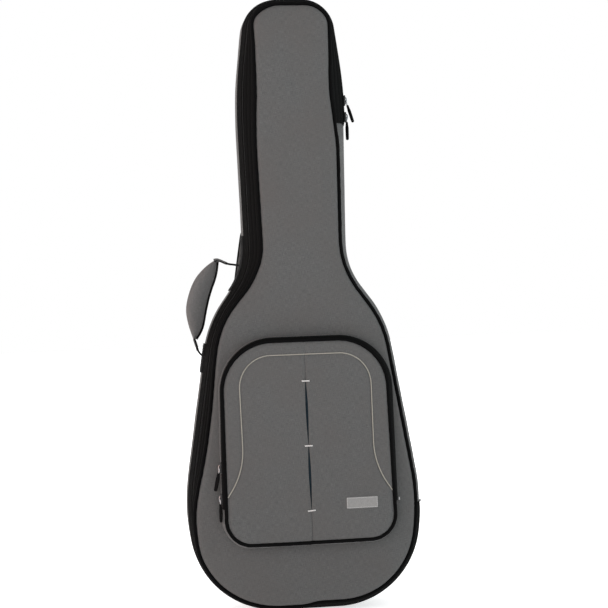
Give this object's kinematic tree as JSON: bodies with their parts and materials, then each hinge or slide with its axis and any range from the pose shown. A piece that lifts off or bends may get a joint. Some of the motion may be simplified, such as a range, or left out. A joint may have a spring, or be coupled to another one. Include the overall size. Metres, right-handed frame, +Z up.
{
  "type": "padded gig bag",
  "caption": "Padded acoustic-guitar gig bag: zipped lid on a fabric hinge, front zip pocket with pleat, side handle, rucksack straps and hang loop.",
  "frame": {"origin": "middle of the flat base, under the middle of the bag's depth", "axes": "+Z up along the bag, towards the headstock; -Y is the front, the side with the pocket; +X to the right seen from the front"},
  "size_m": [0.4226, 0.2451, 1.1],
  "materials": {
    "shell_fabric": "heathered woven polyester, matt",
    "black_webbing": "woven webbing, matt",
    "zip_tape": "woven zip tape, matt",
    "zip_coil": "nylon coil",
    "piping_grey": "woven piping over cord",
    "padding": "closed-cell foam",
    "lining": "brushed nylon",
    "zinc": "die-cast zinc, satin nickel plating",
    "puller_rubber": "moulded, matt",
    "grip_fabric": "padded fabric",
    "bartack_thread": "dense zigzag stitching",
    "label": "woven patch, plain",
    "buckle_plastic": "moulded acetal"
  },
  "bodies": {
    "case_back": {"back_cover": "shell_fabric", "back_foam": "padding", "back_lining": "lining", "back_piping": "piping_grey", "rear_zip_coil": "zip_coil", "rear_zip_tape": "zip_tape", "hinge_gusset": "shell_fabric", "gusset_cover": "shell_fabric", "gusset_foam": "padding", "gusset_lining": "lining", "handle_anchor_upper": "black_webbing", "handle_anchor_lower": "black_webbing", "harness_patch": "black_webbing", "strap_tab_left": "black_webbing", "strap_tab_right": "black_webbing", "neck_cradle": "padding", "neck_strap_patch": "black_webbing", "end_pin_pad": "padding", "headstock_pad": "padding", "zip_end_stop": "zinc"},
    "lid": {"front_cover": "shell_fabric", "front_foam": "padding", "front_lining": "lining", "front_piping": "piping_grey", "front_zip_tape": "zip_tape", "front_zip_coil": "zip_coil", "pocket_gusset": "zip_tape", "pocket_zip_coil": "zip_coil", "pocket_lower_fold": "shell_fabric", "pocket_end_stop": "zinc"},
    "pocket_flap": {"pocket_zip_tape": "zip_tape", "pocket_lining": "lining", "pocket_border": "shell_fabric", "pocket_centre_left": "shell_fabric", "pocket_centre_right": "shell_fabric", "trim_piping": "piping_grey", "bartacks": "bartack_thread", "label_patch": "label"},
    "main_slider_upper": {"main_slider_upper": "zinc"},
    "main_puller_upper": {"main_puller_upper": "puller_rubber"},
    "main_slider_lower": {"main_slider_lower": "zinc"},
    "main_puller_lower": {"main_puller_lower": "puller_rubber"},
    "pocket_slider_upper": {"pocket_slider_upper": "zinc"},
    "pocket_puller_upper": {"pocket_puller_upper": "puller_rubber"},
    "pocket_slider_lower": {"pocket_slider_lower": "zinc"},
    "pocket_puller_lower": {"pocket_puller_lower": "puller_rubber"},
    "handle": {"handle_grip_cover": "grip_fabric", "handle_core": "padding", "handle_piping": "black_webbing", "handle_webbing": "black_webbing"},
    "strap_left": {"strap_pad_left": "shell_fabric", "strap_webbing_left": "black_webbing"},
    "strap_adjuster_left": {"strap_adjuster_left": "buckle_plastic"},
    "strap_right": {"strap_pad_right": "shell_fabric", "strap_webbing_right": "black_webbing"},
    "strap_adjuster_right": {"strap_adjuster_right": "buckle_plastic"},
    "hang_loop": {"hang_loop": "black_webbing"},
    "neck_strap": {"neck_strap_flap": "black_webbing"}
  },
  "joints": [
    {"name": "lid_open", "type": "hinge", "parent": "case_back", "child": "lid", "pos_m": [0.216, -0.0524, 0.19], "axis": [-0.1318, 0, 0.9913], "range_deg": [0, 110], "deforming": ["hinge_gusset"]},
    {"name": "pocket_open", "type": "hinge", "parent": "lid", "child": "pocket_flap", "pos_m": [0, -0.1112, 0.1265], "axis": [1, 0, 0], "range_deg": [0, 35], "deforming": ["pocket_lower_fold"]},
    {"name": "main_zip_upper", "type": "slide", "parent": "case_back", "child": "main_slider_upper", "axis": [-0.0366, 0, 0.9993], "range_m": [0, 0.06]},
    {"name": "main_puller_upper_swing", "type": "hinge", "parent": "main_slider_upper", "child": "main_puller_upper", "pos_m": [0.09615, -0.0527, 0.912], "axis": [0, -1, 0], "range_deg": [0, 130]},
    {"name": "main_zip_lower", "type": "slide", "parent": "case_back", "child": "main_slider_lower", "axis": [0, 0, 1], "range_m": [0, 0.008]},
    {"name": "main_puller_lower_swing", "type": "hinge", "parent": "main_slider_lower", "child": "main_puller_lower", "pos_m": [0.09665, -0.0527, 0.882], "axis": [0, -1, 0], "range_deg": [0, 30]},
    {"name": "pocket_zip_upper", "type": "slide", "parent": "lid", "child": "pocket_slider_upper", "axis": [0.0135, 0, 0.9999], "range_m": [0, 0.1]},
    {"name": "pocket_puller_upper_swing", "type": "hinge", "parent": "pocket_slider_upper", "child": "pocket_puller_upper", "pos_m": [-0.15855, -0.0968, 0.267], "axis": [0, 1, 0], "range_deg": [0, 130]},
    {"name": "pocket_zip_lower", "type": "slide", "parent": "lid", "child": "pocket_slider_lower", "axis": [0.0135, 0, 0.9999], "range_m": [0, 0.015]},
    {"name": "pocket_puller_lower_swing", "type": "hinge", "parent": "pocket_slider_lower", "child": "pocket_puller_lower", "pos_m": [-0.15935, -0.0968, 0.213], "axis": [0, 1, 0], "range_deg": [0, 100]},
    {"name": "handle_swing", "type": "hinge", "parent": "case_back", "child": "handle", "pos_m": [-0.117, 0, 0.626], "axis": [0.3551, 0, 0.9348], "range_deg": [-32, 32]},
    {"name": "hang_loop_lift", "type": "hinge", "parent": "case_back", "child": "hang_loop", "pos_m": [0, 0.082, 1.048], "axis": [1, 0, 0], "range_deg": [0, 100]},
    {"name": "neck_strap_open", "type": "hinge", "parent": "case_back", "child": "neck_strap", "pos_m": [-0.0616, 0.0187, 0.83], "axis": [0, 0, -1], "range_deg": [0, 38]},
    {"name": "strap_left_swing", "type": "hinge", "parent": "case_back", "child": "strap_left", "pos_m": [-0.044, 0.086, 0.752], "axis": [0.1488, 0, 0.9889], "range_deg": [-25, 25]},
    {"name": "strap_left_adjust", "type": "slide", "parent": "strap_left", "child": "strap_adjuster_left", "axis": [0.145, 0.2241, 0.9637], "range_m": [0, 0.06]},
    {"name": "strap_right_swing", "type": "hinge", "parent": "case_back", "child": "strap_right", "pos_m": [0.044, 0.086, 0.752], "axis": [-0.1488, 0, 0.9889], "range_deg": [-25, 25]},
    {"name": "strap_right_adjust", "type": "slide", "parent": "strap_right", "child": "strap_adjuster_right", "axis": [-0.145, 0.2241, 0.9637], "range_m": [0, 0.06]}
  ]
}
